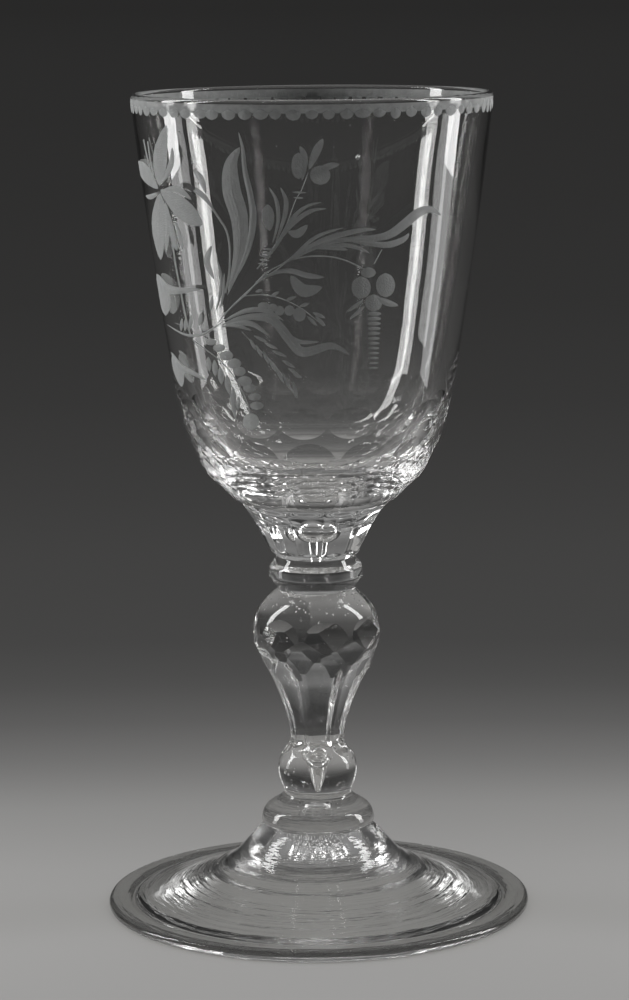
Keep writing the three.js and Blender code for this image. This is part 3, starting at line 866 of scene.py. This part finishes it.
def make_upper_collar():
    corners = [
        (SHOULDER_JOINT, 0),
        (9.55, 0.45),
        (UPPER_COLLAR_RADIUS, 3.2),
        (UPPER_COLLAR_RADIUS, 5.45),
        (9.85, 7.7),
        (BASE_JOINT, UPPER_COLLAR_HEIGHT),
    ]
    outline = capped(worn(corners, UPPER_COLLAR_WEAR), UPPER_COLLAR_HEIGHT)
    shell = Shell()
    shell.turned(outline, 240, joints=(True, True))
    clear_piece(shell, "upper_collar", clear_stem, 30)


# Flutes that run from the knop up the baluster
PANELS = 8
PANEL_TURN = 8.8
PANEL_HOLLOW = 0.45

BALUSTER_RADIUS, BALUSTER_WIDEST = 15.7, 27.8
BALUSTER_RIDGE = 0.1
# The flutes' grinding wheel takes off this much less than full depth, and leaves the glass above a height
BALUSTER_LAND, BALUSTER_LEAVES_AT, BALUSTER_LEAVING = 0.34, 20.9, 0.12
# Radius, height and tilt in degrees of a row of cuts, and radius of its wheel
DIAMONDS = (14.25, 22.4, 15, 30)
SHIELDS = (14.85, 27.0, -7.5, 40)
STONE_WIDTH, STONE_REACH = 14, 15
SHOULDER_SEEDS = 170
SHOULDER_SEED_SIZES, SHOULDER_SEED_HEIGHTS = (0.12, 0.27), (30.5, 36)
SHOULDER_SEED_COVER = 1.2


def make_baluster():
    side = [
        (0, 0), (0.055, 0.14), (0.24, 0.325), (0.49, 0.514), (0.715, 0.64), (0.87, 0.73),
        (0.98, 0.8), (1, 0.9),
    ]
    shoulder = [(1, 0), (0.79, 0.42), (0.46, 0.73), (0, 1)]
    stations = shares(WAIST_JOINT, BALUSTER_RADIUS, 0, BALUSTER_WIDEST, side)
    stations += shares(SHOULDER_JOINT, BALUSTER_RADIUS, BALUSTER_WIDEST, BALUSTER_HEIGHT, shoulder)
    outline = capped(spline(stations, 160), BALUSTER_HEIGHT)

    def lift(z):
        return BALUSTER_LAND + BALUSTER_LEAVING * np.maximum(z - BALUSTER_LEAVES_AT, 0) ** 2

    shell = Shell()
    form = flutes(PANELS, PANEL_TURN, lambda z: 1, PANEL_HOLLOW, BALUSTER_RIDGE, lift)
    shell.turned(outline, flute_angles(PANELS, PANEL_TURN, 24), form, (True, True))
    rng = random.Random(8)
    for _ in range(SHOULDER_SEEDS):
        height = rng.uniform(*SHOULDER_SEED_HEIGHTS)
        glass = np.interp(height, outline[1:-1, 1], outline[1:-1, 0]) - SHOULDER_SEED_COVER
        radius = glass * math.sqrt(rng.uniform(0.3, 1))
        angle = rng.uniform(0, 2 * math.pi)
        shell.seed(rng.uniform(*SHOULDER_SEED_SIZES), radius, angle, height)
    rows = []
    for (radius, height, tilt, wheel), shift in ((DIAMONDS, 180 / PANELS), (SHIELDS, 0)):
        block = wheel_block(wheel, STONE_WIDTH, 0, STONE_REACH)
        rows.append((PANELS, PANEL_TURN + shift, radius, height, math.radians(tilt), block))
    clear_piece(shell, "baluster", clear_stem, 14, rows)


KNOP_RADIUS, KNOP_WIDEST = 9.7, 4.6
KNOP_RIDGE = 0.14
# The flutes leave the knop below a height, and are this far from the glass one step further down
KNOP_LEAVES_AT, KNOP_STEP, KNOP_LEAVING = 11.2, 2.6, 1.05
KNOP_SEEDS = 24
KNOP_SEED_SIZES, KNOP_SEED_RADII, KNOP_SEED_HEIGHTS = (0.13, 0.24), (4, 7), (1, 6)


def make_knop():
    neck = [(1, 0), (0.87, 0.3), (0.54, 0.54), (0.21, 0.745), (0, 1)]
    stations = shares(KNOP_JOINT, KNOP_RADIUS, 0, KNOP_WIDEST, [(0, 0), (0.56, 0.37)])
    stations += shares(WAIST_JOINT, KNOP_RADIUS, KNOP_WIDEST, KNOP_HEIGHT, neck)
    outline = capped(spline(stations, 90), KNOP_HEIGHT)

    def lift(z):
        return KNOP_LEAVING * np.clip((KNOP_LEAVES_AT - z) / KNOP_STEP, 0, 3) ** 2

    shell = Shell()
    form = flutes(PANELS, PANEL_TURN, lambda z: 1, PANEL_HOLLOW, KNOP_RIDGE, lift)
    shell.turned(outline, flute_angles(PANELS, PANEL_TURN), form, (True, True))
    shell.turned(bubble(*KNOP_TEAR), 64, inward=True)
    rng = random.Random(12)
    for _ in range(KNOP_SEEDS):
        radius, angle = rng.uniform(*KNOP_SEED_RADII), rng.uniform(0, 2 * math.pi)
        size, height = rng.uniform(*KNOP_SEED_SIZES), rng.uniform(*KNOP_SEED_HEIGHTS)
        shell.seed(size, radius, angle, height)
    clear_piece(shell, "tear_knop", clear_stem, 14)


LOWER_COLLAR_WAIST = 8.35


def make_lower_collar():
    stations = [
        (DISC_JOINT, 0),
        (LOWER_COLLAR_WAIST, LOWER_COLLAR_HEIGHT * 0.35),
        (LOWER_COLLAR_WAIST, LOWER_COLLAR_HEIGHT * 0.75),
        (KNOP_JOINT, LOWER_COLLAR_HEIGHT),
    ]
    outline = capped(spline(stations, 30), LOWER_COLLAR_HEIGHT)
    shell = Shell()
    shell.turned(outline, 240, joints=(True, True))
    clear_piece(shell, "lower_collar", clear_foot, 30)


DISC_RADIUS = 13.9


def make_disc():
    top = [(0.95, 0.38), (0.8, 0.58), (0.55, 0.73), (0.26, 0.86), (0, 1)]
    stations = shares(FOOT_JOINT, DISC_RADIUS, 0, DISC_HEIGHT, [(0, 0), (0.85, 0.1), (1, 0.21)])
    stations += shares(DISC_JOINT, DISC_RADIUS, 0, DISC_HEIGHT, top)
    outline = capped(spline(stations, 90), DISC_HEIGHT)
    shell = Shell()
    shell.turned(outline, 240, joints=(True, True))
    head = arc(0, 0, 1, -90, 90, 40) * DISC_TEAR_SIZE + (0, DISC_TEAR_MIDDLE)
    head[0, 0] = head[-1, 0] = 0
    shell.turned(head, 64, inward=True)
    clear_piece(shell, "disc_merese", clear_foot, 30)


# Foot

FOLD_WIDTH, FOLD_THICKNESS, PLATE_THICKNESS = 6.8, 1.3, 1.4
FOOT_KICK = 15.2
PONTIL_RADIUS, PONTIL_DEPTH = 4.6, 0.7
FOOT_STEPS = 260
# Rings that tools left on top of the foot: height, radius, how far off centre, and width
GROOVE = (-0.45, FOOT_RADIUS - FOLD_WIDTH + 0.3, 0, 1.3)
RIDGE = (0.12, FOOT_RADIUS - FOLD_WIDTH - 2.4, 0, 0.6)
TOOL_RIDGE = (0.09, 25.5, 0.4, 0.9)
TOOL_GROOVE = (-0.07, 23.2, 0.5, 1.0)
# The edge drops by this much between two radii
EDGE_DROP, EDGE_RADII = 0.15, (48.8, 51)
# Radii between which the faint waves on the cone begin and end, and their height and spacing
WAVES_FROM, WAVES_TO = (13.2, 15.5), (47, 50)
SPIRAL, SPIRAL_PITCH = 0.012, 2.3
SWELL, SWELL_PITCH = 0.01, 3.7
# Rough scar of the pontil: radii where it fades, and its bumps: height, radians to a millimetre in x and
# in y, and radians at the middle
SCAR_RADII = (5, 8.5)
SCAR_BUMPS = ((0.1, 3.7, -3.7, 1), (0.07, 5.3, 3.1, 0))


def make_foot():
    edge = (FOLD_THICKNESS + PLATE_THICKNESS) / 2
    inside = FOOT_RADIUS - FOLD_WIDTH
    under, top = FOLD_THICKNESS + 0.05, FOLD_THICKNESS + PLATE_THICKNESS
    peak = FOOT_KICK - PONTIL_DEPTH
    cone_form = [
        (1, 0.005), (0.776, 0.107), (0.528, 0.277), (0.348, 0.424), (0.255, 0.531), (0.19, 0.644),
        (0.08, 0.87), (0.03, 0.96), (0, 1),
    ]
    cone = shares(FOOT_JOINT, inside, top, FOOT_HEIGHT, cone_form)
    hollow_form = [
        (PONTIL_RADIUS / inside, 1), (0.18, 0.96), (0.31, 0.79), (0.42, 0.585), (0.53, 0.425),
        (0.66, 0.265), (0.84, 0.1), (0.985, 0.005),
    ]
    hollow = shares(0, inside, under, FOOT_KICK, hollow_form)
    outline = np.concatenate(
        [
            [(0, peak)],
            np.linspace((0.6, peak), (PONTIL_RADIUS * 0.8, peak), 6),
            spline(hollow, 140),
            arc(inside + FOLD_THICKNESS / 2, FOLD_THICKNESS / 2, FOLD_THICKNESS / 2, 180, 270, 12),
            arc(FOOT_RADIUS - edge, edge, edge, -90, 90, 28),
            np.linspace((FOOT_RADIUS - edge, top), cone[0], 40)[1:-1],
            spline(cone, 150),
            [(0, FOOT_HEIGHT)],
        ]
    )

    def ripples(r, z, a):
        on_cone = smoothstep(r, *WAVES_FROM) * (1 - smoothstep(r, *WAVES_TO)) * smoothstep(z, top - 0.2, top)
        wave = SPIRAL * np.sin(2 * math.pi * (r / SPIRAL_PITCH + a / (2 * math.pi)))
        wave += SWELL * np.sin(2 * math.pi * (r / SWELL_PITCH + 0.3) + 2 * np.sin(a))
        wave *= on_cone
        on_top = smoothstep(z, top - 0.25, top - 0.05)
        for height, radius, stray, width in (GROOVE, RIDGE, TOOL_RIDGE, TOOL_GROOVE):
            wave += height * on_top * np.exp(-(((r - radius - stray * np.sin(a)) / width) ** 2))
        wave -= EDGE_DROP * smoothstep(z, edge, top) * smoothstep(r, *EDGE_RADII)
        x, y = r * np.cos(a), r * np.sin(a)
        scar = 0.14 * np.sin(2.1 * x + 0.7) * np.sin(2.6 * y)
        for height, in_x, in_y, start in SCAR_BUMPS:
            scar += height * np.sin(in_x * x + in_y * y + start)
        wave += scar * (1 - smoothstep(r, *SCAR_RADII))
        return r, z + wave

    shell = Shell()
    shell.turned(outline, FOOT_STEPS, ripples, (False, True))
    clear_piece(shell, "foot", clear_foot, 35)


make_foot()
make_disc()
make_lower_collar()
make_knop()
make_baluster()
make_upper_collar()
make_bowl_base()
make_bowl()
make_sprig()
make_rim_border()


# Stage

# Painted pool of light: brightness painted into the table and backdrop by distance from a point just in front
# of the goblet, in metres
BRIGHT_POINT = (0, -0.12, 0)
FLOOR_TONES = [
    (0.0, 0.36), (0.09, 0.35), (0.158, 0.31), (0.219, 0.25), (0.266, 0.171), (0.317, 0.115),
    (0.374, 0.078), (0.437, 0.061), (0.508, 0.056), (0.61, 0.053), (0.731, 0.047), (0.876, 0.042),
    (1.05, 0.037), (1.56, 0.031), (2.48, 0.028), (4.0, 0.026), (6.7, 0.025), (13.0, 0.022),
]
FLOOR_GAIN = 1.52
# Painted light: the bright part of the table reaches further towards the strips at the sides
FLOOR_REACH = (0.55, 1, 1)
# The floor goes from lit by the lamps to its own glow between these distances
GLOW_START, GLOW_END = 0.15, 0.5
FLOOR_WARMTH = (1.012, 1, 0.985)
FLOOR_RADIUS = 20
STUDIO_TONES = [(0.0, 0.024), (0.15, 0.03), (0.45, 0.16), (0.8, 0.3)]

# Painted caustics: glowing patches where the foot would gather the strips' light on the table, on either
# side, in metres
PAINTED_CAUSTIC_AT = (0.0325, 0.013)
PAINTED_CAUSTIC_TURN = 60
PAINTED_CAUSTIC_SIZE = (0.016, 0.0055)
PAINTED_CAUSTIC_STRENGTH = 3.4
STREAK_SCALE, STREAK_DETAIL = 900, 4


def tone_ramp(nodes, share, tones, warmth=(1, 1, 1)):
    """A grey that follows a list of (position, value)."""
    ramp = nodes.add("ValToRGB", {"Fac": share})
    stops = ramp.color_ramp.elements
    while len(stops) < len(tones):
        stops.new(0.5)
    for stop, (position, value) in zip(stops, tones):
        stop.position = position
        stop.color = (*(value * c for c in warmth), 1)
    return ramp.outputs["Color"]


def floor_tone(nodes, distance, tones):
    """A grey that follows a list of (distance, value), as a ramp over the square root of the distance."""
    far = math.sqrt(tones[-1][0])
    root = nodes.number("POWER", distance, 0.5)
    share = nodes.number("DIVIDE", root, far, use_clamp=True)
    return tone_ramp(nodes, share, [(math.sqrt(d / tones[-1][0]), v) for d, v in tones], FLOOR_WARMTH)


def painted_caustics(nodes, place):
    """Painted caustics: two streaky glowing patches on the table under the foot, where glass would throw the
    strips' light.
    """
    mirrored = nodes.out("VectorMath", {0: place}, operation="ABSOLUTE")
    half = nodes.out("CombineXYZ", {"X": nodes.part(mirrored, "X"), "Y": nodes.part(place, "Y")})
    patch = nodes.out(
        "Mapping",
        {
            "Vector": half,
            "Location": (*PAINTED_CAUSTIC_AT, 0),
            "Rotation": (0, 0, math.radians(-PAINTED_CAUSTIC_TURN)),
            "Scale": (*PAINTED_CAUSTIC_SIZE, 1),
        },
        vector_type="TEXTURE",
    )
    reach = {"Value": nodes.length(patch), "From Min": 1.0, "From Max": 0.1, "To Max": PAINTED_CAUSTIC_STRENGTH}
    fade = nodes.out("MapRange", reach, interpolation_type="SMOOTHSTEP")
    streaks = nodes.noise(ring_coordinate(nodes, place), STREAK_SCALE, STREAK_DETAIL)
    sharp = nodes.out("MapRange", {"Value": streaks, "From Min": 0.42, "From Max": 0.62})
    return nodes.number("MULTIPLY", fade, sharp)


def floor_material():
    """Pale matt table with a painted pool of light: its colour falls away to the dark grey of the studio
    behind it.
    Far away it glows instead, for the camera and in the glass alone, and lights nothing."""
    m, nodes = new_material("pale_floor")
    place = nodes.out("TexCoord", output="Object")
    narrowed = nodes.vector("MULTIPLY", place, FLOOR_REACH)
    away = nodes.out("VectorMath", {0: narrowed, 1: BRIGHT_POINT}, "Value", operation="DISTANCE")
    glow = [smoothstep(d, GLOW_START, GLOW_END) for d, _ in FLOOR_TONES]
    lit = [(d, v * FLOOR_GAIN * (1 - g)) for (d, v), g in zip(FLOOR_TONES, glow)]
    own = [(d, v * g) for (d, v), g in zip(FLOOR_TONES, glow)]
    path = nodes.add("LightPath")
    seen = path.outputs["Is Camera Ray"]
    for ray in ("Is Glossy Ray", "Is Transmission Ray"):
        seen = nodes.number("MAXIMUM", seen, path.outputs[ray])
    # Painted pool of light: the table's colour falls off with distance from the goblet, and far away it glows
    matt = nodes.out("BsdfDiffuse", {"Color": floor_tone(nodes, away, lit)})
    shine = nodes.out("Emission", {"Color": floor_tone(nodes, away, own), "Strength": seen})
    # Painted caustics: glowing patches on the table under the foot
    painted_caustic_glow = nodes.out("Emission", {"Strength": painted_caustics(nodes, place)})
    both = nodes.out("AddShader", {0: matt, 1: shine})
    nodes.show(nodes.out("AddShader", {0: both, 1: painted_caustic_glow}))
    return m


def make_floor():
    me = bpy.data.meshes.new("floor")
    bm = bmesh.new()
    bmesh.ops.create_circle(bm, cap_ends=True, segments=128, radius=FLOOR_RADIUS)
    bm.to_mesh(me)
    bm.free()
    me.materials.append(floor_material())
    new_object("floor", me)


def studio_world():
    """Dark grey studio all round, paler towards the ceiling."""
    world = bpy.data.worlds.new("studio")
    bpy.context.scene.world = world
    world.use_nodes = True
    nodes = Nodes(world.node_tree)
    place = nodes.out("TexCoord", output="Generated")
    back = world.node_tree.nodes["Background"]
    world.node_tree.links.new(tone_ramp(nodes, nodes.part(place, "Z"), STUDIO_TONES), back.inputs["Color"])
    back.inputs["Strength"].default_value = 1.0


STRIP_WIDTH, STRIP_DISTANCE = 0.078, 0.40
STRIP_AZIMUTHS = {"left": -98.5, "right": 98.5}
# Parts of each strip, in metres above the table: lowest and highest point, and radiance
STRIP_PARTS = {"strip": (0.1, 0.622, 10.5), "strip_end": (0.002, 0.1, 3.2)}


def strip_light(name, azimuth, low, high, radiance):
    """Part of an upright softbox. Azimuth is from the direction to the camera, turning to the right."""
    data = bpy.data.lights.new(name, "AREA")
    data.shape = "RECTANGLE"
    height = high - low
    data.size, data.size_y = STRIP_WIDTH, height
    data.energy = radiance * STRIP_WIDTH * height * math.pi
    o = new_object(name, data)
    a = math.radians(azimuth)
    out = Vector((math.sin(a), -math.cos(a), 0))
    o.location = out * STRIP_DISTANCE + Vector((0, 0, (low + high) / 2))
    o.rotation_mode = "QUATERNION"
    o.rotation_quaternion = out.to_track_quat("Z", "Y")
    o.visible_camera = False


make_floor()
studio_world()
for side, azimuth in STRIP_AZIMUTHS.items():
    for part, (low, high, radiance) in STRIP_PARTS.items():
        strip_light(f"{side}_{part}", azimuth, low, high, radiance)


# Camera

# Focal length and shift across in pixels of an image with this long side
LONG_SIDE = 1000
FOCAL_LENGTH, SHIFT = 3309, -0.8
SENSOR_WIDTH = 36
# Degrees that the camera looks down and leans
CAMERA_DOWN, CAMERA_LEAN = 9.40, 0.5


def make_camera():
    data = bpy.data.cameras.new("camera")
    data.sensor_fit = "AUTO"
    data.sensor_width = SENSOR_WIDTH
    data.lens = SENSOR_WIDTH * FOCAL_LENGTH / LONG_SIDE
    data.shift_x = SHIFT / LONG_SIDE
    data.clip_start, data.clip_end = 0.01, 100
    camera = new_object("camera", data)
    camera.matrix_world = (
        Matrix.Translation((0, -EYE_DISTANCE * MM, EYE_HEIGHT * MM))
        @ Matrix.Rotation(math.radians(90 - CAMERA_DOWN), 4, "X")
        @ Matrix.Rotation(math.radians(-CAMERA_LEAN), 4, "Z")
    )
    bpy.context.scene.camera = camera


make_camera()
scene = bpy.context.scene
scene.view_settings.view_transform = "Standard"
scene.cycles.max_bounces = 24
scene.cycles.transmission_bounces = 24
scene.cycles.glossy_bounces = 12
scene.cycles.transparent_max_bounces = 48
scene.cycles.caustics_reflective = False
scene.cycles.caustics_refractive = False
